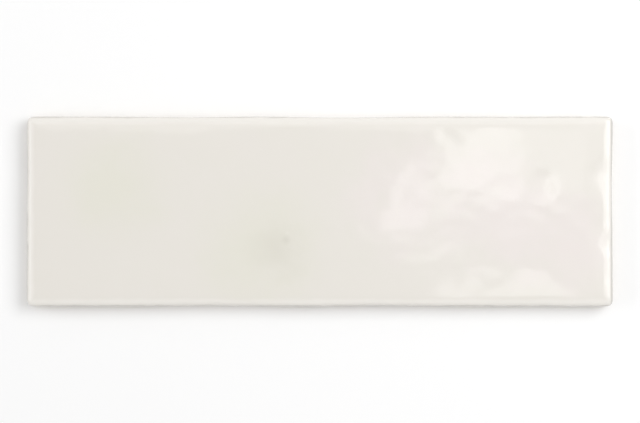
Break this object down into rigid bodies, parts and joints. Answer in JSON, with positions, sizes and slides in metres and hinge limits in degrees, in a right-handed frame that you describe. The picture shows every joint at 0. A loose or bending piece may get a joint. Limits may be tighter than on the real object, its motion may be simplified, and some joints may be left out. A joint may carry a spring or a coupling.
{
  "type": "subway tile",
  "caption": "Rectangular glazed ceramic wall tile with a gently rippled glossy face, rounded arrises, drifting hand-pressed edges and a keyed back for adhesive.",
  "frame": {"origin": "centre of the back, on the plane of the ribs that the tile lies on", "axes": "+X along the long side, +Y across the tile, +Z out of the glazed face"},
  "size_m": [0.2, 0.065, 0.0083],
  "materials": {
    "glazed_ceramic": "glossy off-white glaze with faint warm and greenish clouding and a few pinholes, over a pale fired-clay body that stays bare on the back and the lower sides"
  },
  "bodies": {
    "root": {"tile": "glazed_ceramic"}
  },
  "joints": []
}
